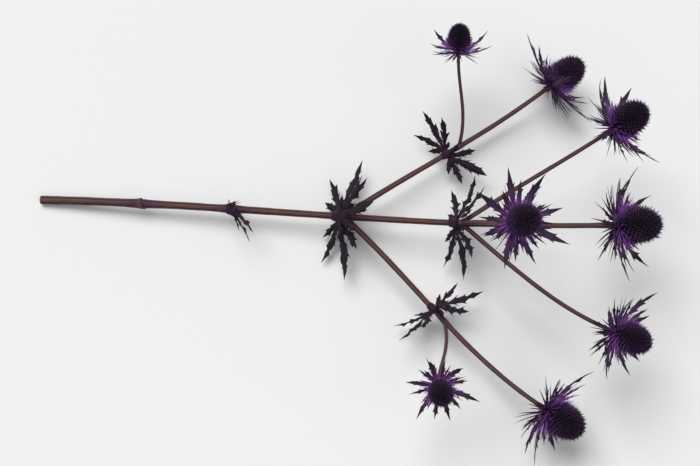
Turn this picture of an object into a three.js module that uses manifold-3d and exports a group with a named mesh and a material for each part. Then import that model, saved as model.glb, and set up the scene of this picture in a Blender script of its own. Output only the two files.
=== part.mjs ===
// A cut flowering stem of sea holly, lying on a table. Millimetres, +Z up.
//
// The ribbed stem runs along +X from its cut end and forks into branches. Each branch ends in a
// flower head: a cone covered in spined florets, seated on a rosette of stiff, toothed bracts.
// Whorls of cut leaves clasp the stem at its forks, and one leaf is left lower down.
// It rests on its cut end and on the bract tips of the two widest branches.
import * as THREE from "three";
import { mergeVertices } from "three/addons/utils/BufferGeometryUtils.js";
import Module from "manifold-3d";

const wasm = await Module();
wasm.setup();

// ---- Driving dimensions. Lengths in millimetres, angles in degrees. ----
const GAP = 0.3; // between pieces that touch
const LENGTH = 478; // from the cut end to the foot of the top head
const CUT_RADIUS = 3.8;
const CUT_HEIGHT = 3.7; // from the table to the middle of the cut end
const TOP_RADIUS = 2.1;
const RIBS = 5; // lengthwise ribs round the stem
const RIB_DEPTH = 0.12; // as a share of the radius

// A head at scale 1: a cone of florets on a rosette of bracts.
const CONE = { radius: 10.5, height: 29, foot: 0.55, belly: 0.33, columns: 13, rows: 11 };
const SPINE = { body: 5.2, skirt: 9.5, skirtRows: 2.6, rise: 0.32 };
const HUB = { radius: 5.4, height: 3 };

// Blades: length, half width, length of the teeth, pairs of teeth, thickness at the rib and the
// share of its width by which the blade is folded up along the rib.
const LONG_BRACT = { length: 41, half: 2.5, tooth: 2.7, pairs: 3, thick: 1.1, fold: 0.22 };
const SHORT_BRACT = { length: 27, half: 1.7, tooth: 1.9, pairs: 1, thick: 0.9, fold: 0.22 };
const LEAF_LOBE = { length: 50, half: 3.9, tooth: 3.2, pairs: 4, thick: 1.2, fold: 0.16 };
const SIDE_LOBE = { length: 37, half: 3.1, tooth: 2.8, pairs: 3, thick: 1.1, fold: 0.16 };
const NEEDLE = { length: 17, half: 0.75 };

// ---- Small maths ----
const rad = THREE.MathUtils.degToRad;
const mix = THREE.MathUtils.lerp;
const vec = (p) => new THREE.Vector3(...p);
// A fixed number from 0 to 1 for each whole number, so that every build is the same.
const chance = (n) => {
  const x = Math.sin(n * 12.9898 + 4.137) * 43758.5453;
  return x - Math.floor(x);
};
const spread = (n, amount) => (chance(n) * 2 - 1) * amount;

// ---- Solids ----
function solidOf(points, triangles) {
  const geometry = new THREE.BufferGeometry();
  geometry.setAttribute("position", new THREE.Float32BufferAttribute(points.flat(), 3));
  geometry.setIndex(triangles.flat());
  return solidOfGeometry(geometry);
}

function solidOfGeometry(geometry) {
  geometry.deleteAttribute("normal");
  geometry.deleteAttribute("uv");
  const merged = mergeVertices(geometry, 1e-4);
  const mesh = new wasm.Mesh({
    numProp: 3,
    vertProperties: merged.attributes.position.array,
    triVerts: new Uint32Array(merged.index.array),
  });
  return new wasm.Manifold(mesh);
}

const joined = (solids) => solids.reduce((a, b) => a.add(b));
const placed = (solid, matrix) => solid.transform(matrix.elements);

function meshOf(name, solid, material) {
  const { vertProperties, triVerts } = solid.getMesh();
  const geometry = new THREE.BufferGeometry();
  geometry.setAttribute("position", new THREE.BufferAttribute(vertProperties, 3));
  geometry.setIndex(new THREE.BufferAttribute(triVerts, 1));
  const mesh = new THREE.Mesh(geometry, material);
  mesh.name = name;
  return mesh;
}

// A frame at a point with its Z along aim, its X as near to straight up as it goes, turned by roll.
function frameAt(point, aim, roll = 0) {
  const z = aim.clone().normalize();
  const x = new THREE.Vector3(0, 0, 1).addScaledVector(z, -z.z).normalize();
  const y = new THREE.Vector3().crossVectors(z, x);
  return new THREE.Matrix4()
    .makeBasis(x, y, z)
    .setPosition(point)
    .multiply(new THREE.Matrix4().makeRotationZ(rad(roll)));
}

// ---- Blades: bracts and leaf lobes ----
// Half the width of a blade without its teeth, at a share of its length.
const bladeWidth = (form, share) =>
  form.half * Math.sin(Math.PI * Math.min(1, 0.16 + 0.84 * share) ** 1.25);

// A toothed blade along +X from the origin, lens-thick along its rib and bent upwards by bend
// degrees on one arc. The two faces are split into the same triangles.
function blade(form, length, bend, twist = 0) {
  const { pairs, thick, fold } = form;
  const tooth = (form.tooth * length) / form.length;
  const points = [];
  const triangles = [];
  const turn = rad(bend) || 1e-6;
  const at = (share, across, lift) => {
    const angle = turn * share;
    const roll = rad(twist) * share;
    const side = across * Math.cos(roll);
    const up = across * Math.sin(roll) + Math.abs(across) * fold + lift;
    const x = (length / turn) * Math.sin(angle) - Math.sin(angle) * up;
    const z = (length / turn) * (1 - Math.cos(angle)) + Math.cos(angle) * up;
    return points.push([x, side, z]) - 1;
  };
  const step = 0.74 / (pairs + 0.4);
  const barb = 0.28 * step; // how far a tooth's point lies ahead of its place on the rib
  const ribs = [];
  const edges = [[], []];
  for (let i = 0; i <= pairs; i++) {
    const share = i ? 0.08 + step * i : 0;
    const lift = (thick / 2) * (1 - 0.35 * share);
    ribs.push([at(share, 0, lift), at(share, 0, -lift)]);
    for (const [hand, edge] of edges.entries()) {
      const sign = hand ? -1 : 1;
      const width = bladeWidth(form, share);
      if (i) edge.push(at(share + barb, sign * (width + tooth * (1 - 0.35 * share)), 0));
      edge.push(at(share + (i ? 0.62 * barb : 0), sign * width, 0));
    }
  }
  const tip = at(1, 0, 0);
  for (const [hand, edge] of edges.entries()) {
    for (const face of [0, 1]) {
      const facing = (a, b, c) => triangles.push(hand === face ? [a, b, c] : [a, c, b]);
      for (let i = 0; i < pairs; i++) {
        const [near, far] = [ribs[i][face], ribs[i + 1][face]];
        const [notch, point, next] = edge.slice(2 * i, 2 * i + 3);
        facing(near, point, notch);
        facing(near, far, point);
        facing(far, next, point);
      }
      facing(ribs[pairs][face], tip, edge[2 * pairs]);
    }
  }
  const [left, right] = [edges[0][0], edges[1][0]];
  triangles.push([left, right, ribs[0][0]], [right, left, ribs[0][1]]);
  return solidOf(points, triangles);
}

// A three-sided needle along +X.
function needle(length) {
  const { half } = NEEDLE;
  const foot = [0, 120, 240].map((a) => [0, half * Math.sin(rad(a)), half * Math.cos(rad(a))]);
  return solidOf([...foot, [length, 0, 0]], [[0, 1, 2], [1, 0, 3], [2, 1, 3], [0, 2, 3]]);
}

// Where a blade stands round an axis: at a radius and height, towards an azimuth, lifted above the
// level, rolled about its own length and then splayed sideways in its own plane.
function standing({ radius, height, azimuth, lift, roll = 0, splay = 0 }) {
  return new THREE.Matrix4()
    .makeRotationZ(rad(azimuth))
    .multiply(new THREE.Matrix4().makeTranslation(radius, 0, height))
    .multiply(new THREE.Matrix4().makeRotationY(-rad(lift)))
    .multiply(new THREE.Matrix4().makeRotationX(rad(roll)))
    .multiply(new THREE.Matrix4().makeRotationZ(rad(splay)));
}

// ---- Flower head ----
// The cone's radius at a share of its height: a narrow foot, a belly low down and a blunt top.
function coneRadius(share) {
  const { radius, foot, belly } = CONE;
  if (share < belly) return radius * (1 - (1 - foot) * ((belly - share) / belly) ** 2);
  return radius * Math.sqrt(Math.max(0, 1 - ((share - belly) / (1 - belly)) ** 2.6));
}

// Rings on the cone, evenly spaced along its outline. The last is short of the top.
function coneRings() {
  const fine = 400;
  const outline = Array.from({ length: fine + 1 }, (_, i) => {
    const share = i / fine;
    return new THREE.Vector2(coneRadius(share), share * CONE.height);
  });
  const lengths = [0];
  for (let i = 1; i <= fine; i++) {
    lengths.push(lengths[i - 1] + outline[i].distanceTo(outline[i - 1]));
  }
  const total = lengths[fine] * 0.94;
  return Array.from({ length: CONE.rows + 1 }, (_, row) => {
    const i = Math.max(1, Math.min(fine - 1, lengths.findIndex((l) => l >= (total * row) / CONE.rows)));
    const along = outline[i + 1].clone().sub(outline[i - 1]).normalize();
    return { radius: outline[row ? i : 0].x, z: outline[row ? i : 0].y, along };
  });
}

// The cone with a spined floret raised over every lozenge of its two sets of spirals. The lowest
// florets carry the long spines of the skirt.
function cone(seed) {
  const { columns, rows, height } = CONE;
  const rings = coneRings();
  const points = [];
  const triangles = [];
  const corner = (row, column) => row * columns + (((column % columns) + columns) % columns);
  for (let row = 0; row <= rows; row++) {
    for (let column = 0; column < columns; column++) {
      const angle = (2 * Math.PI * (column + (row % 2) / 2)) / columns;
      const { radius, z } = rings[row];
      points.push([radius * Math.cos(angle), radius * Math.sin(angle), z]);
    }
  }
  const raise = (row, column, corners) => {
    const middle = corners
      .reduce((sum, c) => sum.add(vec(points[c])), new THREE.Vector3())
      .divideScalar(corners.length);
    const { along } = rings[row];
    const around = Math.atan2(middle.y, middle.x);
    const skirt = Math.max(0, 1 - row / SPINE.skirtRows);
    const out = new THREE.Vector3(Math.cos(around) * along.y, Math.sin(around) * along.y, -along.x);
    out.z = mix(Math.max(out.z, 0) + SPINE.rise * (1 - out.z), 0.46 + spread(seed + column, 0.08), skirt);
    const length = mix(SPINE.body, SPINE.skirt, skirt) * (1 + spread(seed + 31 * row + column, 0.16));
    const apex = points.push(middle.addScaledVector(out.normalize(), length).toArray()) - 1;
    corners.forEach((c, i) => triangles.push([c, corners[(i + 1) % corners.length], apex]));
  };
  for (let row = 0; row <= rows; row++) {
    for (let column = 0; column < columns; column++) {
      const shift = row % 2 ? 1 : 0; // the rows next to this one are turned by half a column
      const [left, right] = [corner(row, column), corner(row, column + 1)];
      const below = corner(row - 1, column + shift);
      const above = corner(row + 1, column + shift);
      if (row === 0) raise(row, column, [left, right, above]);
      else if (row < rows) raise(row, column, [left, below, right, above]);
      else triangles.push([left, below, right]);
    }
  }
  const top = points.push([0, 0, height + SPINE.body * 0.7]) - 1;
  const foot = points.push([0, 0, 0]) - 1;
  for (let column = 0; column < columns; column++) {
    triangles.push([corner(rows, column), corner(rows, column + 1), top]);
    triangles.push([corner(0, column + 1), corner(0, column), foot]);
  }
  return solidOf(points, triangles);
}

// The rosette under a head: long toothed bracts, shorter ones between them and a fringe of needles
// below, all rooted in the hub.
function rosette({ seed, bracts: longCount = 8 }) {
  const { radius, height } = HUB;
  const hub = new THREE.CylinderGeometry(radius * 0.9, radius, height, 9);
  const solids = [solidOfGeometry(hub.rotateX(Math.PI / 2).translate(0, 0, height / 2))];
  const foot = { radius: 2.6 };
  for (let i = 0; i < longCount; i++) {
    const length = LONG_BRACT.length * (1 - 0.1 * (i % 2) + spread(seed + i, 0.09));
    const bend = 14 + 42 * chance(seed + 50 + i);
    const azimuth = (360 * (i + spread(seed + 70 + i, 0.16))) / longCount;
    const at = standing({ ...foot, height: 1.1, azimuth, lift: 5 * chance(seed + 90 + i) });
    solids.push(placed(blade(LONG_BRACT, length, bend, spread(seed + 110 + i, 30)), at));
  }
  for (let i = 0; i < longCount; i++) {
    const length = SHORT_BRACT.length * (1 + spread(seed + 130 + i, 0.15));
    const azimuth = (360 * (i + 0.5 + spread(seed + 150 + i, 0.12))) / longCount;
    const at = standing({ ...foot, height: 2.1, azimuth, lift: 3 * chance(seed + 170 + i) });
    solids.push(placed(blade(SHORT_BRACT, length, 8 + 22 * chance(seed + 190 + i)), at));
  }
  const needles = longCount + 2;
  for (let i = 0; i < needles; i++) {
    const length = NEEDLE.length * (1 + spread(seed + 210 + i, 0.25));
    const azimuth = (360 * (i + spread(seed + 230 + i, 0.2))) / needles;
    const at = standing({ ...foot, height: 1, azimuth, lift: -14 - 26 * chance(seed + 250 + i) });
    solids.push(placed(needle(length), at));
  }
  return joined(solids);
}

// ---- Leaves ----
// A whorl of cut leaves on a collar that clasps a stem of this radius. Each leaf is a middle lobe
// with a lobe splayed to either side.
function whorl(seed, stemRadius, leaves, scale) {
  const inner = stemRadius + GAP + 0.1;
  const outer = inner + 1.3;
  const [low, high] = [-2.6, 2.6];
  const profile = [[inner, low], [outer, low], [outer + 0.5, high], [inner, high], [inner, low]];
  const collar = new THREE.LatheGeometry(profile.map((p) => new THREE.Vector2(...p)), 14);
  const solids = [solidOfGeometry(collar.rotateX(Math.PI / 2))];
  for (const [i, [azimuth, lift, roll]] of leaves.entries()) {
    for (const side of [-1, 0, 1]) {
      const form = side ? SIDE_LOBE : LEAF_LOBE;
      const n = seed + 10 * i + side;
      const length = form.length * scale * (1 + spread(n, 0.1));
      const at = standing({ radius: inner + 0.7, height: 0.6, azimuth, lift, roll, splay: side * 36 });
      solids.push(placed(blade(form, length, -26 + spread(n + 40, 14), side * 14), at));
    }
  }
  return joined(solids);
}

// ---- Stem ----
// A tapered, ribbed rod along a curve with flat ends. radiusAt gives its radius at a share.
function ribbedRod(curve, radiusAt, steps) {
  const sides = RIBS * 2;
  const points = [];
  const triangles = [];
  let across = new THREE.Vector3(0, 0, 1);
  for (let i = 0; i <= steps; i++) {
    const tangent = curve.getTangent(i / steps);
    across = across.addScaledVector(tangent, -across.dot(tangent)).normalize();
    const beside = new THREE.Vector3().crossVectors(tangent, across);
    for (let side = 0; side < sides; side++) {
      const angle = (2 * Math.PI * (side + 0.5)) / sides;
      const radius = radiusAt(i / steps) * (side % 2 ? 1 - RIB_DEPTH : 1);
      const point = curve.getPoint(i / steps).addScaledVector(across, radius * Math.cos(angle));
      points.push(point.addScaledVector(beside, radius * Math.sin(angle)).toArray());
    }
  }
  for (let i = 0; i < steps; i++) {
    for (let side = 0; side < sides; side++) {
      const [a, b] = [i * sides + side, i * sides + ((side + 1) % sides)];
      triangles.push([a, b, b + sides], [a, b + sides, a + sides]);
    }
  }
  for (let side = 1; side < sides - 1; side++) {
    triangles.push([0, side + 1, side]);
    triangles.push([steps * sides, steps * sides + side, steps * sides + side + 1]);
  }
  return solidOf(points, triangles);
}

// The height of a head's foot above the table when it rests on its lowest bract.
function restingHeight(aim, head) {
  const { scale, roll } = head;
  const turned = frameAt(new THREE.Vector3(), aim, roll).scale(new THREE.Vector3(scale, scale, scale));
  return -placed(rosette(head), turned).boundingBox().min[2];
}

// A branch grows from a share of its parent's length, sets out along leave and ends at tip,
// heading along aim. A tip with no height is at the height where its head rests on the table.
function grow(form, parent) {
  const start = parent ? parent.curve.getPoint(form.from) : vec([0, 0, CUT_HEIGHT]);
  const aim = vec(form.aim).normalize();
  const [x, y, z = restingHeight(aim, form.head)] = form.tip;
  const tip = vec([x, y, z]);
  const reach = start.distanceTo(tip) * 0.36;
  const curve = new THREE.CubicBezierCurve3(
    start,
    start.clone().addScaledVector(vec(form.leave).normalize(), reach),
    tip.clone().addScaledVector(aim, -reach),
    tip,
  );
  const [thick, thin] = form.radii;
  const knots = form.knots ?? [];
  const radiusAt = (share) => {
    const swell = knots.reduce((sum, knot) => sum + 0.22 * Math.exp(-(((share - knot) / 0.018) ** 2)), 0);
    const flare = 0.45 * Math.max(0, (share - 0.95) / 0.05) ** 2;
    return mix(thick, thin, share) * (1 + swell + flare);
  };
  return { ...form, curve, radiusAt, aim, tip };
}

const MAIN = {
  name: "top",
  leave: [1, 0.04, 0.13],
  tip: [LENGTH, 2, 80],
  aim: [0.88, -0.04, 0.46],
  radii: [CUT_RADIUS, TOP_RADIUS],
  knots: [0.17, 0.33, 0.53, 0.74],
  steps: 30,
  head: { scale: 1.18, roll: 8, seed: 11 },
};
const BRANCHES = [
  {
    name: "left",
    parent: "top",
    from: 0.53,
    leave: [0.76, 0.64, 0.06],
    tip: [424, 140],
    aim: [0.72, 0.6, 0.32],
    radii: [2.6, 1.9],
    knots: [0.55],
    steps: 11,
    head: { scale: 1.1, roll: 22, seed: 300 },
  },
  {
    name: "right",
    parent: "top",
    from: 0.53,
    leave: [0.78, -0.62, 0.06],
    tip: [438, -142],
    aim: [0.78, -0.5, 0.34],
    radii: [2.6, 1.9],
    knots: [0.52],
    steps: 11,
    head: { scale: 1.12, roll: 23, seed: 500 },
  },
  {
    name: "upper_left",
    parent: "top",
    from: 0.74,
    leave: [0.78, 0.6, 0.22],
    tip: [470, 78, 94],
    aim: [0.66, 0.36, 0.66],
    radii: [2.1, 1.7],
    steps: 8,
    head: { scale: 1.05, roll: 40, seed: 700 },
  },
  {
    name: "upper_right",
    parent: "top",
    from: 0.74,
    leave: [0.8, -0.6, 0.04],
    tip: [484, -82, 68],
    aim: [0.76, -0.38, 0.5],
    radii: [2.1, 1.7],
    steps: 8,
    head: { scale: 1.02, roll: 5, seed: 900 },
  },
  {
    name: "crown",
    parent: "top",
    from: 0.74,
    leave: [0.62, -0.12, 0.76],
    tip: [394, -26, 146],
    aim: [0.26, -0.2, 0.94],
    radii: [2, 1.6],
    steps: 8,
    head: { scale: 1, roll: 15, seed: 1100 },
  },
  {
    name: "left_bud",
    parent: "left",
    from: 0.55,
    leave: [0.2, 0.92, 0.36],
    tip: [342, 142, 74],
    aim: [-0.06, 0.66, 0.74],
    radii: [1.6, 1.3],
    steps: 5,
    head: { scale: 0.76, roll: 0, seed: 1300, bracts: 6 },
  },
  {
    name: "right_bud",
    parent: "right",
    from: 0.52,
    leave: [0.24, -0.9, 0.36],
    tip: [350, -142, 80],
    aim: [0.1, -0.6, 0.78],
    radii: [1.6, 1.3],
    steps: 5,
    head: { scale: 0.8, roll: 12, seed: 1500, bracts: 6 },
  },
];

// Leaf whorls: the branch that each clasps, its share along it, and for each leaf its azimuth
// round the branch from straight up, its lift towards the head and its roll.
const WHORLS = [
  {
    name: "low_leaf",
    on: "top",
    at: 0.33,
    leaves: [[40, 40, 20]],
    scale: 0.9,
    seed: 1700,
  },
  {
    name: "fork_leaves",
    on: "top",
    at: 0.518,
    leaves: [[0, 50, 0], [102, 20, -50], [257, 20, 50]],
    scale: 1.12,
    seed: 1800,
  },
  {
    name: "upper_leaves",
    on: "top",
    at: 0.728,
    leaves: [[110, 24, -50], [250, 24, 50]],
    scale: 1,
    seed: 1900,
  },
  {
    name: "left_leaves",
    on: "left",
    at: 0.485,
    leaves: [[80, 30, -50], [280, 10, 30]],
    scale: 0.82,
    seed: 2000,
  },
  {
    name: "right_leaves",
    on: "right",
    at: 0.455,
    leaves: [[80, 10, -30], [280, 30, 50]],
    scale: 0.82,
    seed: 2100,
  },
];

// ---- Assembly ----
const finish = (color, roughness) => new THREE.MeshStandardMaterial({ color, roughness, metalness: 0 });
const FINISHES = {
  stem: finish("#6a4443", 0.55),
  floret: finish("#221530", 0.7),
  bract: finish("#44304d", 0.6),
  leaf: finish("#2b2430", 0.6),
};

const plant = new THREE.Group();
const branches = new Map([["top", grow(MAIN)]]);
for (const form of BRANCHES) branches.set(form.name, grow(form, branches.get(form.parent)));

const rods = [...branches.values()].map((b) => ribbedRod(b.curve, b.radiusAt, b.steps));
plant.add(meshOf("stem", joined(rods), FINISHES.stem));

for (const { name, tip, aim, head } of branches.values()) {
  const { scale, roll } = head;
  const foot = frameAt(tip, aim, roll).scale(new THREE.Vector3(scale, scale, scale));
  const lifted = (z) => foot.clone().multiply(new THREE.Matrix4().makeTranslation(0, 0, z));
  plant.add(meshOf(`${name}_bracts`, placed(rosette(head), lifted(GAP)), FINISHES.bract));
  plant.add(meshOf(`${name}_head`, placed(cone(head.seed), lifted(HUB.height + 2 * GAP)), FINISHES.floret));
}

for (const { name, on, at, leaves, scale, seed } of WHORLS) {
  const { curve, radiusAt } = branches.get(on);
  const frame = frameAt(curve.getPoint(at), curve.getTangent(at));
  plant.add(meshOf(name, placed(whorl(seed, radiusAt(at), leaves, scale), frame), FINISHES.leaf));
}

// The origin is on the table, below the middle of the plant's box.
const box = new THREE.Box3().setFromObject(plant);
const middle = box.getCenter(new THREE.Vector3());
plant.position.set(-middle.x, -middle.y, -box.min.z);

export default plant;
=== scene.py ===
import math

import bpy
import numpy as np
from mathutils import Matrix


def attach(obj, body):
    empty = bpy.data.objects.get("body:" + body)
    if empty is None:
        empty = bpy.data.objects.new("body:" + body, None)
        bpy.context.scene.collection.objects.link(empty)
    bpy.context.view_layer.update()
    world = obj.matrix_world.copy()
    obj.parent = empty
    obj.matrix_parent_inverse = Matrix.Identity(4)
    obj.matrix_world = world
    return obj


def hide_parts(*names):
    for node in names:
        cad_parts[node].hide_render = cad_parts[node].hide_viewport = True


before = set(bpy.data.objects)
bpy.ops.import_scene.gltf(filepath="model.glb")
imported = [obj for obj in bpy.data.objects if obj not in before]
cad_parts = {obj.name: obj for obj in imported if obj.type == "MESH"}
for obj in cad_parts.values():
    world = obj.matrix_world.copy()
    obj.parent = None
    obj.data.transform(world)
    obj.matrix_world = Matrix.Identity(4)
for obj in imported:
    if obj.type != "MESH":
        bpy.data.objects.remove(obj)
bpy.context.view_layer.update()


# ---- Stem and branches ----
# One grown stem that forks twice. It is woody and fibrous, ribbed lengthwise, and swells where
# leaves and branches leave it. It was cut square at its foot, which shows the pale pith.

MM = 0.001
# The plant is laid out in millimetres from its cut end, and this puts it over the origin.
PLACE = np.array([-260.641, 2.299, -0.107])
UP = np.array([0.0, 0.0, 1.0])


def unit(v):
    v = np.asarray(v, float)
    return v / np.linalg.norm(v)


def chance(n):
    """A fixed number from 0 to 1 for each number n."""
    x = math.sin(n * 12.9898 + 4.137) * 43758.5453
    return x - math.floor(x)


def spread(n, amount):
    """A fixed number from -amount to amount for each number n."""
    return (chance(n) * 2 - 1) * amount


def grown(start, leave, tip, aim, radii, knots, head):
    """A branch from start to tip, as one smooth curve that sets out along leave and ends along aim."""
    start, tip, aim = np.array(start, float), np.array(tip, float), unit(aim)
    reach = np.linalg.norm(tip - start) * 0.36
    bends = [start, start + unit(leave) * reach, tip - aim * reach, tip]
    return {"bends": bends, "aim": aim, "tip": tip, "radii": radii, "knots": knots, "head": head}


def point_on(branch, share):
    a, b, c, d = branch["bends"]
    s, t = 1 - share, share
    return s**3 * a + 3 * s * s * t * b + 3 * s * t * t * c + t**3 * d


def heading_on(branch, share):
    a, b, c, d = branch["bends"]
    s, t = 1 - share, share
    return unit(s * s * (b - a) + 2 * s * t * (c - b) + t * t * (d - c))


KNOT_SWELL, KNOT_WIDTH = 0.22, 0.018  # shares of the branch's radius and of its length
HEAD_FLARE, FLARE_LENGTH = 0.45, 0.05  # the same, where a branch widens under its head


def radius_on(branch, share):
    thick, thin = branch["radii"]
    swell = sum(KNOT_SWELL * math.exp(-(((share - knot) / KNOT_WIDTH) ** 2)) for knot in branch["knots"])
    flare = HEAD_FLARE * max(0.0, (share - (1 - FLARE_LENGTH)) / FLARE_LENGTH) ** 2
    return (thick + (thin - thick) * share) * (1 + swell + flare)


def place(*steps):
    """One 4 x 4 matrix from steps such as ("Z", degrees), ("move", x, y, z) or ("scale", k)."""
    whole = np.eye(4)
    for kind, *numbers in steps:
        step = np.eye(4)
        if kind == "move":
            step[:3, 3] = numbers
        elif kind == "scale":
            step[:3, :3] *= numbers[0]
        else:
            i, j = {"X": (1, 2), "Y": (2, 0), "Z": (0, 1)}[kind]
            angle = math.radians(numbers[0])
            step[i, i] = step[j, j] = math.cos(angle)
            step[j, i], step[i, j] = math.sin(angle), -math.sin(angle)
        whole = whole @ step
    return whole


def frame_at(point, aim, roll=0.0):
    """A frame at point with its Z along aim, its X as near straight up as it goes, turned by roll."""
    z = unit(aim)
    x = unit(UP - z * z[2])
    whole = np.eye(4)
    for column, axis in enumerate((x, np.cross(z, x), z, point)):
        whole[:3, column] = axis
    return whole @ place(("Z", roll))


def moved(points, matrix):
    return np.asarray(points, float) @ matrix[:3, :3].T + matrix[:3, 3]


def turns(sides):
    """The angles of this many points, evenly round a circle."""
    return np.arange(sides) * 2 * math.pi / sides


def ring_at(turn, radius, height):
    """A ring of points round Z at these angles."""
    heights = np.broadcast_to(height, turn.shape)
    return np.column_stack([np.cos(turn) * radius, np.sin(turn) * radius, heights])


class Growth:
    """Gathers the points, faces and point values of one piece of the plant, in millimetres."""

    def __init__(self, **whole):
        """whole holds the values that are the same at every point of the piece."""
        self.whole, self.values, self.count = whole, {}, 0
        self.points, self.faces, self.finishes = [], [], []

    def add(self, points, faces, finish=0, **values):
        """finish is the number of the faces' material, and each value is one number or one a point."""
        for name, value in {**self.whole, **values}.items():
            value = np.asarray(value, float)
            shape = (len(points),) + value.shape[1:]
            self.values.setdefault(name, []).append(np.broadcast_to(value, shape))
        self.points.append(points)
        self.faces += [[self.count + i for i in face] for face in faces]
        self.finishes += np.broadcast_to(finish, len(faces)).tolist()
        self.count += len(points)

    def piece(self, name, *materials):
        """The whole growth as one Blender object, in metres and in its place."""
        points = (np.concatenate(self.points) + PLACE) * MM
        mesh = bpy.data.meshes.new(name)
        mesh.from_pydata(points.tolist(), [], self.faces)
        for material in materials:
            mesh.materials.append(material)
        mesh.polygons.foreach_set("material_index", self.finishes)
        mesh.polygons.foreach_set("use_smooth", [True] * len(self.faces))
        for value_name, parts in self.values.items():
            value = np.concatenate(parts)
            kind = "FLOAT_VECTOR" if value.ndim > 1 else "FLOAT"
            field = "vector" if value.ndim > 1 else "value"
            mesh.attributes.new(value_name, kind, "POINT").data.foreach_set(field, value.ravel())
        mesh.validate()
        mesh.update()
        made = bpy.data.objects.new(name, mesh)
        bpy.context.scene.collection.objects.link(made)
        return made


def between_rings(rings, sides, loop=False):
    """Quads between rings of points, each counted round the same way, and back to the first in a loop."""
    faces = []
    for ring in range(rings if loop else rings - 1):
        low, high = ring * sides, (ring + 1) % rings * sides
        for side in range(sides):
            beside = (side + 1) % sides
            faces.append((low + side, low + beside, high + beside, high + side))
    return faces


def closed_skin(rings, sides):
    """As between_rings, with a fan at each end to the two points that come after the rings."""
    foot, top = rings * sides, rings * sides + 1
    last = foot - sides
    fans = [(foot, (i + 1) % sides, i) for i in range(sides)]
    fans += [(top, last + i, last + (i + 1) % sides) for i in range(sides)]
    return between_rings(rings, sides) + fans


RIB_COUNT, STRIA_COUNT = 5, 10  # the ribs, and the fine ridges on and between them
RIB_TURN = math.radians(18)
RIB_RISE, RIB_CHANGE, STRIA_RISE, SCAR_RISE = 0.05, 0.012, 0.02, 0.05  # shares of the radius
SCAR_WIDTH = 0.55
RING_GAP = 2.8  # between the rings of points along a branch
KNOT_RINGS, KNOT_CLEAR = np.linspace(-2.4, 2.4, 11), 2.6  # the closer rings at a knot
PURPLE_AT_KNOT, PURPLE_AT_FORK = 0.03, 9.0  # a share of the length, and millimetres
# The cut end's rings, from its edge inwards: their size, how deep they lie and how soft they are.
PITH_RINGS = ((0.93, -0.05, 0.0), (0.76, 0.1, 0.6), (0.5, 0.3, 1.0), (0.25, 0.45, 1.0))
PITH_DEPTH = 0.5


def ring_shares(branch, length):
    """Where the rings of points lie along a branch, with closer ones at its knots."""
    shares = set(np.linspace(0, 1, int(length / RING_GAP) + 1))
    for knot in branch["knots"]:
        shares = {share for share in shares if abs(share - knot) * length > KNOT_CLEAR}
        shares |= {knot + gap / length for gap in KNOT_RINGS}
    return sorted(shares)


def add_rod(growth, branch, seed, sides, cut_end):
    """The ribbed, slightly uneven rod of one branch. A cut end is sunk a little in its pith."""
    stops = [point_on(branch, i / 60) for i in range(61)]
    length = sum(np.linalg.norm(b - a) for a, b in zip(stops, stops[1:]))
    turn = (np.arange(sides) + 0.5) * 2 * math.pi / sides
    rib, stria = np.cos(RIB_COUNT * (turn - RIB_TURN)), np.cos(STRIA_COUNT * turn)
    waver = 0.8 * np.sin(2 * turn + seed) + 0.45 * np.sin(5 * turn + 2 * seed) + 0.2 * np.sin(11 * turn)
    rings = []  # each with its point values
    across = UP
    for share in ring_shares(branch, length):
        heading = heading_on(branch, share)
        across = unit(across - heading * np.dot(across, heading))
        beside = np.cross(heading, across)
        along = share * length
        wander = 0.018 * math.sin(along * 0.21 + seed) + 0.012 * math.sin(along * 0.53 + 2 * seed)
        lean = 0.012 * np.sin(turn + along * 0.07 + seed) + 0.008 * np.sin(3 * turn - along * 0.11)
        past_knots = [(share - knot) * length for knot in branch["knots"]]
        scar = sum((np.exp(-(((past - waver) / SCAR_WIDTH) ** 2)) for past in past_knots), 0 * turn)
        ridges = (RIB_RISE + RIB_CHANGE * math.sin(along * 0.043 + seed)) * rib + STRIA_RISE * stria
        radius = radius_on(branch, share) * (0.94 + ridges + wander + lean + SCAR_RISE * scar)
        ring = np.outer(np.cos(turn) * radius, across) + np.outer(np.sin(turn) * radius, beside)
        purple = [math.exp(-(((share - knot) / PURPLE_AT_KNOT) ** 2)) for knot in branch["knots"]]
        if not cut_end:
            purple.append(math.exp(-((along / PURPLE_AT_FORK) ** 2)))
        values = {
            "rib": (rib + stria) * 0.5, "scar": scar, "node": max(purple, default=0.0), "pith": 0.0,
            "grain": ring_at(turn, 4, along * 0.09 + seed),
        }
        rings.append((point_on(branch, share) + ring, values))
    first, heading, sunk = rings[0][0], heading_on(branch, 0), 0.0
    middle = first.mean(axis=0)
    if cut_end:
        sunk = PITH_DEPTH
        for inward, depth, softness in PITH_RINGS:
            ring = middle + (first - middle) * inward + heading * depth
            grain = (ring - middle) * 1.5
            values = {"rib": 0.0, "scar": 0.0, "node": 0.0, "pith": softness, "grain": grain}
            rings.insert(0, (ring, values))
    ends = [middle + heading * sunk, rings[-1][0].mean(axis=0)]
    faces = closed_skin(len(rings), sides)
    pith_points = len(PITH_RINGS) * sides
    cut_faces = [cut_end and (min(face) < pith_points or len(rings) * sides in face) for face in faces]

    def gathered(name, *at_ends):
        shape = (sides,) + np.shape(at_ends[0])
        return np.concatenate([np.broadcast_to(values[name], shape) for _, values in rings] + [at_ends])

    growth.add(
        np.concatenate([ring for ring, _ in rings] + [ends]), faces, finish=np.array(cut_faces, int),
        rib=gathered("rib", 0, 0), node=gathered("node", 0, 0), scar=gathered("scar", 0, 0),
        pith=gathered("pith", 1, 0), grain=gathered("grain", np.zeros(3), np.zeros(3)),
    )


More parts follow.
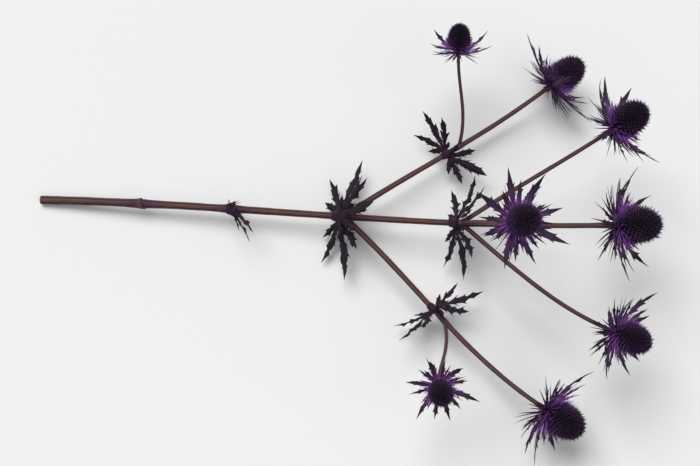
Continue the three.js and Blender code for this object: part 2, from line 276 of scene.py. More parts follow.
# The sheath's section: height, how far out from the stem, and 1 where it follows the tears.
COLLAR_PROFILE = (
    (-4.4, -0.7, 0), (-3.0, -0.2, 0), (-1.0, 0.12, 0), (0.6, 0.45, 1), (0.5, 0.28, 1), (-1.2, -0.2, 0),
)
TEAR_HEIGHT = 3.4


def add_collar(growth, branch, share):
    """What is left at a bare node of the leaf that was stripped off: its torn, dried sheath."""
    sides = 72
    turn = turns(sides)
    torn = 0.1 + 0.8 * np.abs(np.sin(turn / 2 + 0.5)) ** 1.5
    torn *= 1 + 0.35 * np.sin(6 * turn + 1.1) + 0.25 * np.sin(11 * turn + 0.4) + 0.2 * np.sin(23 * turn)
    inner = radius_on(branch, share) * (1 + 0.03 * np.cos(RIB_COUNT * turn + 0.4))
    rings = [ring_at(turn, inner + out, z + TEAR_HEIGHT * rim * torn) for z, out, rim in COLLAR_PROFILE]
    collar = np.concatenate(rings)
    growth.add(
        moved(collar, frame_at(point_on(branch, share), heading_on(branch, share))),
        between_rings(len(rings), sides, loop=True),
        rib=np.tile(np.cos(12 * turn), len(rings)), node=0.3, pith=0.0,
        grain=np.column_stack([collar[:, :2] * 1.5, collar[:, 2] * 0.1]),
        scar=np.clip(0.5 + collar[:, 2] * 0.2, 0, 1),
    )


BARE_NODE = 0.17
main = grown(
    (0, 0, 3.7), (1, 0.04, 0.13), (478, 2, 80), (0.88, -0.04, 0.46), (3.8, 2.1),
    knots=(BARE_NODE, 0.33, 0.53, 0.74), head=(1.18, 8, 11, 8),
)
branches = {"top": main}
# name, parent, share of the parent, first heading, tip, last heading,
# radii, knots, and the head's scale, roll, seed and number of long bracts
for name, parent, share, *course in (
    ("left", "top", 0.53, (0.76, 0.64, 0.06), (424, 140, 28.116), (0.72, 0.6, 0.32),
     (2.6, 1.9), (0.55,), (1.1, 22, 300, 8)),
    ("right", "top", 0.53, (0.78, -0.62, 0.06), (438, -142, 33.034), (0.78, -0.5, 0.34),
     (2.6, 1.9), (0.52,), (1.12, 23, 500, 8)),
    ("upper_left", "top", 0.74, (0.78, 0.6, 0.22), (470, 78, 94), (0.66, 0.36, 0.66),
     (2.1, 1.7), (), (1.05, 40, 700, 8)),
    ("upper_right", "top", 0.74, (0.8, -0.6, 0.04), (484, -82, 68), (0.76, -0.38, 0.5),
     (2.1, 1.7), (), (1.02, 5, 900, 8)),
    ("crown", "top", 0.74, (0.62, -0.12, 0.76), (394, -26, 146), (0.26, -0.2, 0.94),
     (2.0, 1.6), (), (1.0, 15, 1100, 8)),
    ("left_bud", "left", 0.55, (0.2, 0.92, 0.36), (342, 142, 74), (-0.06, 0.66, 0.74),
     (1.6, 1.3), (), (0.76, 0, 1300, 6)),
    ("right_bud", "right", 0.52, (0.24, -0.9, 0.36), (350, -142, 80), (0.1, -0.6, 0.78),
     (1.6, 1.3), (), (0.8, 12, 1500, 6)),
):
    branches[name] = grown(point_on(branches[parent], share), *course)


def put(tree, kind, inputs=None, **settings):
    """Adds a shader node with its settings, and links its inputs or sets them to numbers or colours."""
    made = tree.nodes.new(kind)
    for key, value in settings.items():
        setattr(made, key, value)
    for key, value in (inputs or {}).items():
        if isinstance(value, bpy.types.NodeSocket):
            tree.links.new(value, made.inputs[key])
        else:
            made.inputs[key].default_value = (*value, 1) if isinstance(value, tuple) else value
    return made


MIX_AMOUNT, MIX_LOW, MIX_HIGH, MIX_COLOUR = 0, 6, 7, 2  # the Mix node's sockets when it mixes colours


def blend_colours(tree, amount, low, high):
    """A colour that goes from low to high as amount goes from 0 to 1."""
    inputs = {MIX_AMOUNT: amount, MIX_LOW: low, MIX_HIGH: high}
    return put(tree, "ShaderNodeMix", inputs, data_type="RGBA").outputs[MIX_COLOUR]


def layered(tree, colour, *layers):
    """The colour with others laid over it in turn, each given as how much of it shows, and itself."""
    for amount, over in layers:
        colour = blend_colours(tree, amount, colour, over)
    return colour


def point_value(tree, name, output="Fac"):
    """What the mesh holds at each point under this name."""
    return put(tree, "ShaderNodeAttribute", attribute_name=name).outputs[output]


def ramp(tree, value, low, high, to_low=0.0, to_high=1.0):
    """value taken from low..high to to_low..to_high, and kept within them."""
    inputs = {"Value": value, "From Min": low, "From Max": high, "To Min": to_low, "To Max": to_high}
    return put(tree, "ShaderNodeMapRange", inputs).outputs["Result"]


def times(tree, a, b):
    return put(tree, "ShaderNodeMath", {0: a, 1: b}, operation="MULTIPLY").outputs[0]


# Fibres that run lengthwise: fine streaks, and broader patches along them.
fibres = bpy.data.node_groups.new("lengthwise fibres", "ShaderNodeTree")
for label, way, kind in (
    ("Grain", "INPUT", "Vector"), ("Fineness", "INPUT", "Float"),
    ("Streaks", "OUTPUT", "Float"), ("Patches", "OUTPUT", "Float"),
):
    fibres.interface.new_socket(label, in_out=way, socket_type="NodeSocket" + kind)
taken = fibres.nodes.new("NodeGroupInput").outputs
fine_inputs = {"Vector": taken["Grain"], "Scale": taken["Fineness"], "Detail": 3.0, "Roughness": 0.6}
broad_inputs = {"Vector": taken["Grain"], "Scale": 0.55, "Detail": 2.0}
fine = put(fibres, "ShaderNodeTexNoise", fine_inputs).outputs["Fac"]
broad = put(fibres, "ShaderNodeTexNoise", broad_inputs).outputs["Fac"]
given = {"Streaks": ramp(fibres, fine, 0.32, 0.68), "Patches": ramp(fibres, broad, 0.36, 0.64)}
put(fibres, "NodeGroupOutput", given)


def fibre_marks(tree, fineness):
    """The streaks and the patches of the fibres, in one material."""
    inputs = {"Grain": point_value(tree, "grain", "Vector"), "Fineness": fineness}
    marks = put(tree, "ShaderNodeGroup", inputs, node_tree=fibres)
    return marks.outputs["Streaks"], marks.outputs["Patches"]


def new_material(name, **sockets):
    """A material with its own Principled shader, with these sockets set, and its tree."""
    material = bpy.data.materials.new(name)
    material.use_nodes = True
    shader = material.node_tree.nodes["Principled BSDF"]
    for label, value in sockets.items():
        shader.inputs[label.replace("_", " ")].default_value = value
    return material, material.node_tree, shader


def bump(tree, shader, height, distance, strength=1.0):
    made = put(tree, "ShaderNodeBump", {"Height": height, "Distance": distance, "Strength": strength})
    tree.links.new(made.outputs["Normal"], shader.inputs["Normal"])


# Skin: pinkish brown, broken up by the fibres. The pale ribs and near-black grooves are partly the stem's
# own colour and partly painted: a painted highlight along the ribs and painted shade in the grooves.
stem_skin, tree, shader = new_material("stem skin", Specular_IOR_Level=0.14)
streaks, patches = fibre_marks(tree, 2.6)
ribs_and_streaks = {0: point_value(tree, "rib"), 1: times(tree, streaks, 0.9)}
rib_highlight_and_groove_shade = put(tree, "ShaderNodeMath", ribs_and_streaks, operation="ADD").outputs[0]
colour = layered(
    # painted highlight on the ribs and painted shade in the grooves, over the stem's own rib and groove
    # colours
    tree, blend_colours(tree, ramp(tree, rib_highlight_and_groove_shade, -0.45, 1.45), (0.016, 0.007, 0.009), (0.270, 0.151, 0.136)),
    (times(tree, streaks, 0.5), (0.034, 0.014, 0.017)),  # dark streaks
    (times(tree, patches, 0.3), (0.046, 0.022, 0.038)),  # dusky mauve patches
    (times(tree, point_value(tree, "node"), 0.8), (0.060, 0.022, 0.070)),  # purple at knots and forks
    (times(tree, point_value(tree, "scar"), 0.7), (0.150, 0.085, 0.066)),  # corky scars and dry sheath
)
tree.links.new(colour, shader.inputs["Base Color"])
tree.links.new(ramp(tree, streaks, 0, 1, 0.38, 0.56), shader.inputs["Roughness"])
bump(tree, shader, streaks, 0.00012, 0.6)

# The cut: pale spongy pith inside a dark ring of skin.
pith, tree, shader = new_material("cut pith", Roughness=0.85)
pores = {"Vector": point_value(tree, "grain", "Vector"), "Scale": 2.2, "Detail": 4.0}
spongy = put(tree, "ShaderNodeTexNoise", pores).outputs["Fac"]
inside = blend_colours(tree, spongy, (0.36, 0.27, 0.17), (0.62, 0.52, 0.36))
colour = blend_colours(tree, ramp(tree, point_value(tree, "pith"), 0.1, 0.7), (0.10, 0.052, 0.040), inside)
tree.links.new(colour, shader.inputs["Base Color"])
bump(tree, shader, spongy, 0.0002)

stem_growth = Growth()
for seed, branch in enumerate(branches.values()):
    add_rod(stem_growth, branch, seed, sides=60 if branch is main else 50, cut_end=branch is main)
add_collar(stem_growth, main, BARE_NODE)
stem = stem_growth.piece("ribbed_stem", stem_skin, pith)
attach(stem, "root")
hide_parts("stem")


# ---- Leaves ----
# Stiff, cut leaves that clasp the stem at its knots and forks with a short sheath. Each has three
# lobes and two small ones at its foot, with spine-tipped teeth, a raised midrib and side veins.

FIRST_TOOTH = 0.08  # where the teeth begin, as a share of the blade's length
LAST_ROW = 0.985  # the last row of points before the tip, as such a share
ROW_GAP = 0.004  # rows closer than this are one
VEIN_WIDTH = 0.5


def forward(out, body):
    """How far a vein runs forward on its way out to here: more steeply where it leaves the body."""
    return 0.6 * out + 0.65 * np.maximum(0, out - body)


def body_width(share, half):
    """Half the width of a blade without its teeth: narrower at its foot, and slender at its tip."""
    grown_width = half * np.sin(math.pi * np.minimum(1, 0.16 + 0.84 * share) ** 1.25)
    return np.maximum(grown_width, half * 0.5 * (share < 0.3))


def teeth(length, half, tooth, pairs, step, seed, minor):
    """One side's teeth: where the vein leaves the rib, how far out the point is, and both slopes."""
    found = []
    for n in range(1, pairs + 1):
        share = FIRST_TOOTH + step * (n + spread(seed + n, 0.13))
        size = tooth * (1 - 0.35 * share) * (1 + spread(seed + n + 0.5, 0.22))
        out = body_width(share, half) + size
        root = share + 0.28 * step - forward(out, out - size) / length
        found.append((root, out, 0.6 * step, 0.17 * step))
        if minor and n > 1:
            root -= step * (0.5 + spread(seed + n + 0.3, 0.1))
            out = body_width(root, half) + size * (0.34 + spread(seed + n + 0.7, 0.14))
            found.append((root, out, 0.24 * step, 0.1 * step))
    return found


def blade_form(
    length, half, tooth, pairs, thick, fold, seed, minor=False, columns=(0.1, 0.36, 0.7), toothed=0.74
):
    """The outline of a toothed blade: rows along it, with the width and the veins on each side.

    half is half its width, tooth the size of its pairs of teeth, thick its thickness at the rib, fold
    how much it is folded up along the rib, and toothed the share of its length that bears teeth.
    minor puts small teeth between them. columns are where its points lie across each half.
    """
    step = toothed / (pairs + 0.4)
    sides = [teeth(length, half, tooth, pairs, step, seed + 10 * side, minor) for side in (0, 1)]
    shares = set(np.linspace(0, LAST_ROW, 14))
    for root, _, back, ahead in sides[0] + sides[1]:
        shares |= {root - back * 0.5, root - back * 0.22, root - back * 0.07}
        shares |= {root, root + ahead * 0.3, root + ahead}
    rows = np.array(sorted(share for share in shares if 0 <= share <= LAST_ROW))
    rows = rows[np.concatenate([[True], np.diff(rows) > ROW_GAP])]
    last = FIRST_TOOTH + step * pairs
    body = body_width(rows, half)
    end = body_width(last, half) * np.clip((1 - rows) / (1 - last), 0, 1) ** 1.1
    body = np.where(rows > last, np.minimum(body, end), body)
    width = np.column_stack([body, body])
    vein = np.zeros_like(width)
    for side, peaks in enumerate(sides):
        for root, out, back, ahead in peaks:
            behind = np.clip(1 + (rows - root) / back, 0, 1) ** 4 * (rows <= root)
            before = np.clip(1 - (rows - root) / ahead, 0, 1) ** 1.8 * (rows > root)
            near = np.exp(-(((rows - root) * length / VEIN_WIDTH) ** 2))
            width[:, side] = np.maximum(width[:, side], body + (out - body) * (behind + before))
            vein[:, side] = np.maximum(vein[:, side], near)
    across = np.concatenate([[-1], -np.array(columns)[::-1], [0], columns, [1]])
    hand = (across > 0).astype(int)
    return {
        "length": length, "thick": thick, "fold": fold, "rows": rows, "across": across,
        "body": body, "width": width[:, hand], "vein": vein[:, hand],
    }


def blade_forms(count, seed_step, first_seed, **sizes):
    """Several forms of one size, each with teeth of its own."""
    return [blade_form(seed=seed_step * k + first_seed, **sizes) for k in range(count)]


RIM_THICK, VEIN_THICK = 0.17, 0.12  # half a blade's thickness between its veins, and what a vein adds
RIB_SHARE = 0.12  # how far the midrib spreads, as a share of the half width
GRAIN_ALONG, GRAIN_ACROSS, GRAIN_SHIFTS = 0.12, 1.4, 97  # the run of the fibres, and its starting points


def add_blade(growth, form, matrix, length, bend, twist, seed, wave):
    """One blade along +X, bent upwards on an arc, thick at its midrib and veins and thin at its edge."""
    scale = length / form["length"]
    rows, across = form["rows"][:, None], form["across"][None, :]
    body, side = form["body"][:, None] * scale, across * form["width"] * scale
    reach = forward(np.abs(side), body) / length
    share = rows + np.minimum(reach * np.clip(rows * 8, 0, 1), 0.999 - rows)
    middle = np.exp(-((across / RIB_SHARE) ** 2))
    half = RIM_THICK + VEIN_THICK * form["vein"] * (1 - middle)
    half = half + middle * (form["thick"] / 2 - RIM_THICK) * (1 - 0.55 * rows)
    half = half * (np.abs(across) < 1) * np.clip((1 - rows) / 0.14, 0, 1) ** 0.5
    flutter = np.sin(rows * 17 + seed + across) + 0.7 * np.sin(rows * 31 + 2.3 * seed + across * 1.7)
    ripple = wave * across**2 * flutter * np.clip(form["width"] / form["body"].max(), 0, 1.6)
    ripple = ripple * np.clip(rows * 5, 0, 1)
    turn, roll = math.radians(bend) or 1e-6, math.radians(twist) * share

    def bent(lift):
        angle = turn * share
        up = side * np.sin(roll) + np.abs(side) * form["fold"] + lift
        x = length / turn * np.sin(angle) - np.sin(angle) * up
        z = length / turn * (1 - np.cos(angle)) + np.cos(angle) * up
        return np.stack([x, side * np.cos(roll), z], axis=-1).reshape(-1, 3)

    tip = [[length / turn * math.sin(turn), 0, length / turn * (1 - math.cos(turn))]]
    points = np.concatenate([bent(ripple + half), bent(ripple - half), tip])
    top = np.arange(form["width"].size).reshape(form["width"].shape)
    under = top + top.size
    under[:, 0], under[:, -1] = top[:, 0], top[:, -1]
    last = 2 * top.size
    faces = []
    for r in range(len(top) - 1):
        for c in range(top.shape[1] - 1):
            faces.append((top[r, c], top[r + 1, c], top[r + 1, c + 1], top[r, c + 1]))
            faces.append((under[r, c], under[r, c + 1], under[r + 1, c + 1], under[r + 1, c]))
    for c in range(top.shape[1] - 1):
        faces.append((top[-1, c], last, top[-1, c + 1]))
        faces.append((under[-1, c], under[-1, c + 1], last))
        cap = (top[0, c], top[0, c + 1], under[0, c + 1], under[0, c])
        faces.append(tuple(dict.fromkeys(cap)))
    point = np.clip((np.abs(side) - body) / (1.6 * scale), 0, 1)
    point = np.maximum(point, np.clip((rows - 0.86) / 0.13, 0, 1))
    vein = np.maximum(middle * (1 - 0.4 * rows), form["vein"] * 0.8)
    run, shift = rows * length * GRAIN_ALONG + 0 * across, 0 * rows * across + seed % GRAIN_SHIFTS
    grain = np.stack([run, side * GRAIN_ACROSS, shift], axis=-1).reshape(-1, 3)

    def twice(value):
        """The value on both faces, and 1 at the tip."""
        value = np.broadcast_to(value, top.shape).ravel()
        return np.concatenate([value, value, [1.0]])

    growth.add(
        moved(points, matrix), faces, vein=twice(vein), point=twice(point), along=twice(rows),
        edge=twice(np.abs(across)), tone=chance(seed + 0.5),
        grain=np.concatenate([grain, grain, [[length * GRAIN_ALONG, 0, seed % GRAIN_SHIFTS]]]),
    )


NEEDLE_SIDES, NEEDLE_RINGS = 5, 5


def add_needle(growth, matrix, length, half, sag, seed):
    """A slender spine along +X that narrows to its point and rises by sag on its way."""
    turn = turns(NEEDLE_SIDES)
    shares = np.linspace(0, 0.97, NEEDLE_RINGS)
    rings = []
    for t in shares:
        thick = half * (1 - t) ** 0.65 + 0.03
        rise = sag * length * t * t + 0.7 * thick * np.sin(turn)
        rings.append(np.column_stack([np.full(NEEDLE_SIDES, t * length), thick * np.cos(turn), rise]))
    points = np.concatenate(rings + [[[0, 0, 0]], [[length, 0, sag * length]]])
    t = np.concatenate([np.repeat(shares, NEEDLE_SIDES), [0.0, 1.0]])
    growth.add(
        moved(points, matrix), closed_skin(NEEDLE_RINGS, NEEDLE_SIDES),
        vein=0.0, point=t**1.5, along=t, edge=0.3, tone=chance(seed + 0.5),
        grain=np.column_stack([t * length * GRAIN_ALONG, points[:, 1], 0 * t + seed % GRAIN_SHIFTS]),
    )


def standing(radius, height, azimuth, lift, roll=0.0, splay=0.0):
    """Where a blade stands round an axis."""
    return place(("Z", azimuth), ("move", radius, 0, height), ("Y", -lift), ("X", roll), ("Z", splay))


MIDDLE_LOBES = blade_forms(
    4, 31, 0, length=50, half=3.9, tooth=3.2, pairs=4, thick=1.2, fold=0.16, minor=True,
    columns=(0.09, 0.28, 0.52, 0.78),
)
SIDE_LOBES = blade_forms(
    4, 37, 5, length=37, half=3.1, tooth=2.8, pairs=3, thick=1.1, fold=0.16, minor=True,
    columns=(0.09, 0.28, 0.52, 0.78),
)
FOOT_LOBES = blade_forms(
    3, 43, 9, length=19, half=2.2, tooth=2.0, pairs=2, thick=0.9, fold=0.16, columns=(0.12, 0.5)
)
SIDE_SPLAY, FOOT_SPLAY = 36, 70  # degrees from the middle lobe
# The sheath's section: height, and how far out it is from its inner face.
SHEATH_PROFILE = (
    (-4.2, 0.0), (-3.4, 0.3), (-2.0, 0.65), (-0.4, 1.05), (1.2, 1.6), (2.6, 2.2), (2.5, 1.7), (0.8, 0.5),
    (-3.4, 0.0),
)
SHEATH_GAP = 0.35  # between the sheath and the stem
RIM_SPINES = 9


def add_sheath(growth, seed, inner, to):
    """The ring round the stem that the leaves grow from, with a ruffled rim."""
    sides = 36
    turn = turns(sides)
    ruffle = 1 + 0.16 * np.sin(5 * turn + seed) + 0.12 * np.sin(13 * turn + 2 * seed)
    waved = 0.25 * np.sin(3 * turn + seed) + 0.22 * np.sin(9 * turn + seed)
    rings = [ring_at(turn, inner + out * ruffle, z + max(0.0, z) * waved) for z, out in SHEATH_PROFILE]
    sheath, count = np.concatenate(rings), len(rings)
    height = sheath[:, 2]
    grain = np.column_stack([height * GRAIN_ALONG, np.tile(turn, count) * 3, 0 * height])
    growth.add(
        moved(sheath, to), between_rings(count, sides, loop=True),
        vein=np.tile(0.3 + 0.3 * np.cos(9 * turn), count), point=0.0, along=0.05, edge=0.0,
        tone=chance(seed), grain=grain,
    )


def add_whorl(growth, seed, stem_radius, leaves, scale, to):
    """A sheath round the stem, with its leaves and a fringe of fine spines on its rim."""
    inner = stem_radius + SHEATH_GAP
    add_sheath(growth, seed, inner, to)
    for i, (azimuth, lift, roll) in enumerate(leaves):
        for side in (-1, 0, 1):
            n = seed + 10 * i + side
            forms = SIDE_LOBES if side else MIDDLE_LOBES
            form = forms[n % len(forms)]
            length = form["length"] * scale * (1 + spread(n, 0.1))
            at = to @ standing(inner + 0.75, 0.6, azimuth, lift, roll, side * SIDE_SPLAY)
            add_blade(growth, form, at, length, -26 + spread(n + 40, 14), side * 14, n, wave=0.8)
            if side:
                form = FOOT_LOBES[n % len(FOOT_LOBES)]
                length = form["length"] * scale * (1 + spread(n + 60, 0.15))
                at = to @ standing(inner + 0.75, 0.8, azimuth, lift + 4, roll, side * FOOT_SPLAY)
                add_blade(growth, form, at, length, -18 + spread(n + 70, 14), side * 20, n + 5, wave=0.5)
    for i in range(RIM_SPINES):
        azimuth = 360 / RIM_SPINES * (i + spread(seed + 80 + i, 0.4))
        at = to @ standing(inner + 1.2, 2.0, azimuth, 28 + 30 * chance(seed + 90 + i))
        add_needle(growth, at, 4.5 + 4 * chance(seed + 100 + i), 0.4, sag=0.1, seed=seed + i)


# Leathery and near-black, with plum on some leaves, and a slate cast on the fibres that is partly the
# leaves' own colour and partly a painted sheen.
leaf_skin, tree, shader = new_material("leaf skin", Specular_IOR_Level=0.06)
streaks, patches = fibre_marks(tree, 2.4)
colour = layered(
    tree, blend_colours(tree, patches, (0.007, 0.005, 0.008), (0.030, 0.021, 0.033)),
    (times(tree, point_value(tree, "tone"), 0.6), (0.026, 0.0115, 0.026)),  # plum
    # partly painted sheen: the slate cast on the fibres stands in for the leaves' grey gloss
    (times(tree, streaks, 0.45), (0.025, 0.027, 0.033)),  # slate
    (ramp(tree, point_value(tree, "vein"), 0.45, 1.0, 0.0, 0.55), (0.048, 0.032, 0.050)),  # dusky veins
    (ramp(tree, point_value(tree, "edge"), 0.7, 1.0, 0.0, 0.6), (0.006, 0.004, 0.007)),  # dark rims
    (times(tree, point_value(tree, "point"), 0.5), (0.040, 0.026, 0.040)),  # dull mauve points
    (ramp(tree, point_value(tree, "along"), 0.02, 0.25, 0.8, 0.0), (0.050, 0.020, 0.044)),  # wine foot
)
tree.links.new(colour, shader.inputs["Base Color"])
tree.links.new(ramp(tree, streaks, 0, 1, 0.42, 0.60), shader.inputs["Roughness"])
bump(tree, shader, streaks, 0.00015, 0.7)

# name, branch, share of the branch, the leaves' azimuth, lift and roll, scale and seed
for name, on, share, leaves, scale, seed in (
    ("low_leaf", "top", 0.33, [(40, 40, 20)], 0.9, 1700),
    ("fork_leaves", "top", 0.518, [(0, 50, 0), (102, 20, -50), (257, 20, 50)], 1.12, 1800),
    ("upper_leaves", "top", 0.728, [(110, 24, -50), (250, 24, 50)], 1.0, 1900),
    ("left_leaves", "left", 0.485, [(80, 30, -50), (280, 10, 30)], 0.82, 2000),
    ("right_leaves", "right", 0.455, [(80, 10, -30), (280, 30, 50)], 0.82, 2100),
):
    branch = branches[on]
    growth = Growth()
    to = frame_at(point_on(branch, share), heading_on(branch, share))
    add_whorl(growth, seed, radius_on(branch, share), leaves, scale, to)
    whorl = growth.piece("cut_" + name, leaf_skin)
    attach(whorl, "root")
    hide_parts(name)


# ---- Rosettes of bracts ----
# Under each flower cone stands a ruff of stiff, spine-toothed bracts, with shorter and slender ones
# between them, thin needles, and a fringe below. They grow from the swollen end of the branch.

LONG_BRACTS = blade_forms(
    5, 23, 1, length=41, half=2.6, tooth=2.4, pairs=3, thick=1.0, fold=0.22, toothed=0.64
)
SLENDER_BRACTS = blade_forms(
    4, 41, 7, length=30, half=1.2, tooth=1.5, pairs=2, thick=0.7, fold=0.2, toothed=0.6,
    columns=(0.16, 0.55),
)
SHORT_BRACTS = blade_forms(4, 29, 3, length=27, half=1.7, tooth=1.7, pairs=2, thick=0.85, fold=0.22)
HUB_RADIUS, HUB_HEIGHT, GAP = 5.4, 3.0, 0.3
# The hub's section: shares of its radius, and heights.
HUB_PROFILE = ((0.35, 0.02), (0.62, 0.15), (0.84, 0.7), (0.96, 1.5), (0.92, 2.4), (0.7, 2.9))
ROOT = 2.6  # how far from the hub's axis bracts and needles are rooted
TABLE_CLEAR = 1.5


def cleared(matrix, length, rise):
    """The length, made shorter where the far end would come down to the table."""
    while moved([[length, 0, rise * length]], matrix)[0, 2] + PLACE[2] < TABLE_CLEAR:
        length *= 0.88
    return length


def add_hub(growth, to, seed, pleats):
    """The swollen disc that carries the bracts, pleated where each long one leaves it."""
    sides = 30
    turn = turns(sides)
    rings = [ring_at(turn, r * HUB_RADIUS * (1 + 0.05 * np.cos(pleats * turn)), z) for r, z in HUB_PROFILE]
    hub = np.concatenate(rings + [[[0, 0, 0]], [[0, 0, HUB_HEIGHT]]])
    growth.add(
        moved(hub, to), closed_skin(len(rings), sides), vein=0.0, point=0.0, along=0.2, edge=0.0,
        tone=chance(seed), grain=hub * 0.5,
    )


def add_rosette(growth, to, seed, long_count):
    add_hub(growth, to, seed, long_count)
    for i in range(long_count):
        form = LONG_BRACTS[(seed + i) % len(LONG_BRACTS)]
        length = form["length"] * (1 - 0.1 * (i % 2) + spread(seed + i, 0.09))
        bend = 14 + 42 * chance(seed + 50 + i)
        azimuth = 360 * (i + spread(seed + 70 + i, 0.16)) / long_count
        at = to @ standing(ROOT, 1.1, azimuth, 5 * chance(seed + 90 + i))
        add_blade(growth, form, at, length, bend, spread(seed + 110 + i, 30), seed + i, wave=0.45)
    for i in range(long_count):
        form = SHORT_BRACTS[(seed + i) % len(SHORT_BRACTS)]
        length = form["length"] * (1 + spread(seed + 130 + i, 0.15))
        azimuth = 360 * (i + 0.5 + spread(seed + 150 + i, 0.12)) / long_count
        at = to @ standing(ROOT, 2.1, azimuth, 3 * chance(seed + 170 + i))
        bend = 8 + 22 * chance(seed + 190 + i)
        add_blade(growth, form, at, length, bend, 0.0, seed + 20 + i, wave=0.3)
    # slender ones between and behind them
    slender = long_count + 8
    for i in range(slender):
        form = SLENDER_BRACTS[(seed + i) % len(SLENDER_BRACTS)]
        azimuth = 360 * (i + 0.3 + spread(seed + 350 + i, 0.35)) / slender
        height, lift = 0.6 + 1.6 * chance(seed + 370 + i), -20 + 34 * chance(seed + 390 + i)
        at = to @ standing(ROOT, height, azimuth, lift)
        bend = 4 + 30 * chance(seed + 410 + i)
        length = cleared(at, 21 + 12 * chance(seed + 430 + i), 0.5 * math.radians(bend))
        add_blade(growth, form, at, length, bend, spread(seed + 450 + i, 25), seed + 60 + i, wave=0.2)
    # the fringe of stout needles below
    needles = long_count + 2
    for i in range(needles):
        length = 17 * (1 + spread(seed + 210 + i, 0.25))
        azimuth = 360 * (i + spread(seed + 230 + i, 0.2)) / needles
        at = to @ standing(ROOT, 1, azimuth, -14 - 26 * chance(seed + 250 + i))
        add_needle(growth, at, length, 0.85, sag=0.0, seed=seed + i)
    # thin needles between them all, level to rising
    thin, sag = 6 * long_count, 0.12
    for i in range(thin):
        azimuth = 360 * (i + spread(seed + 270 + i, 0.45)) / thin
        height, lift = 0.5 + 1.9 * chance(seed + 310 + i), -34 + 48 * chance(seed + 330 + i)
        at = to @ standing(ROOT, height, azimuth, lift)
        length = cleared(at, 14 + 13 * chance(seed + 290 + i) ** 1.5, sag)
        add_needle(growth, at, length, 0.68, sag, seed + 40 + i)


# Dyed violet at the foot, and greyer and darker outwards.
bract_skin, tree, shader = new_material("bract skin", Specular_IOR_Level=0.08)
streaks, patches = fibre_marks(tree, 2.6)
outwards = ramp(tree, point_value(tree, "along"), 0.14, 0.70)
wine = ramp(tree, point_value(tree, "tone"), 0.12, 0.0, 0.0, 0.6)
ashen = ramp(tree, point_value(tree, "tone"), 0.72, 1.0, 0.0, 0.55)
colour = layered(
    tree, blend_colours(tree, outwards, (0.290, 0.098, 0.380), (0.043, 0.029, 0.050)),
    (wine, (0.120, 0.030, 0.085)),  # a few that took the dye redder
    (times(tree, ashen, outwards), (0.048, 0.037, 0.055)),  # and some that stay grey at their ends
    (times(tree, patches, 0.5), (0.046, 0.028, 0.054)),
    (times(tree, streaks, 0.45), (0.020, 0.012, 0.026)),
    (ramp(tree, point_value(tree, "vein"), 0.4, 1.0, 0.0, 0.5), (0.115, 0.070, 0.130)),  # paler ribs
    (ramp(tree, point_value(tree, "edge"), 0.75, 1.0, 0.0, 0.5), (0.018, 0.011, 0.022)),  # dark rims
    (times(tree, point_value(tree, "point"), 0.6), (0.062, 0.038, 0.070)),  # mauve points
)
tree.links.new(colour, shader.inputs["Base Color"])
tree.links.new(ramp(tree, streaks, 0, 1, 0.40, 0.58), shader.inputs["Roughness"])
bump(tree, shader, streaks, 0.00012, 0.7)

feet = {}
for name, branch in branches.items():
    scale, roll, seed, long_count = branch["head"]
    feet[name] = frame_at(branch["tip"], branch["aim"], roll) @ place(("scale", scale))
    growth = Growth()
    add_rosette(growth, feet[name] @ place(("move", 0, 0, GAP)), seed, long_count)
    rosette = growth.piece(name + "_rosette", bract_skin)
    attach(rosette, "root")
    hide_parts(name + "_bracts")


# ---- Flower cones ----
# A thimble of tight florets in spirals on a solid core. Each is a five-pointed calyx with one stiff
# spine and two finer ones, and the lowest spines are long and bright and stand out as a skirt.

CONE_RADIUS, CONE_HEIGHT, CONE_FOOT, CONE_BELLY = 10.5, 29.0, 0.55, 0.33
FLORETS = 240
GOLDEN_TURN = 137.50776
OUTLINE_STEPS = 400
CORE_SIDES, CORE_RINGS, CORE_TOP = 32, 15, 385  # the core ends at this step of the outline
SPINE_RINGS = (0, 0.18, 0.42, 0.7, 0.93)
# The florets' cup, from its foot over its rim to the bud: radius, height and how pale it is.
CUP_PROFILE = ((0.9, -0.6, 0.0), (1.1, 0.7, 0.15), (1.0, 1.2, 0.3), (0.62, 1.15, 0.1), (0.42, 1.6, 0.25))
SEPALS = 5
CORE_FINISH, SPINE_FINISH = 0, 1  # the cone's two materials


def cone_radius(share):
    if share < CONE_BELLY:
        return CONE_RADIUS * (1 - (1 - CONE_FOOT) * ((CONE_BELLY - share) / CONE_BELLY) ** 2)
    return CONE_RADIUS * math.sqrt(max(0.0, 1 - ((share - CONE_BELLY) / (1 - CONE_BELLY)) ** 2.4))


def cone_outline():
    """Points up the cone's outline, its slope there, and the share of its skin below each."""
    shares = np.linspace(0, 1, OUTLINE_STEPS + 1)
    outline = np.array([[cone_radius(s), s * CONE_HEIGHT] for s in shares])
    slope = np.gradient(outline, axis=0)
    slope /= np.linalg.norm(slope, axis=1)[:, None]
    pieces = np.linalg.norm(np.diff(outline, axis=0), axis=1) * (outline[1:, 0] + outline[:-1, 0])
    below = np.concatenate([[0], np.cumsum(pieces)])
    return outline, slope, below / below[-1]


OUTLINE, SLOPE, BELOW = cone_outline()


def spine_shape(sides):
    """A spine of length 1 along +Z, its faces, and how far along each point is."""
    turn = turns(sides)
    rings = [ring_at(turn, 1 - t**1.3, t) for t in SPINE_RINGS]
    points = np.concatenate(rings + [[[0, 0, -0.02], [0, 0, 1]]])
    shares = np.concatenate([np.repeat(SPINE_RINGS, sides), [0.0, 1.0]])
    return points, closed_skin(len(rings), sides), shares


def spoke_at(angle):
    return np.array([math.cos(angle), math.sin(angle), 0.0])


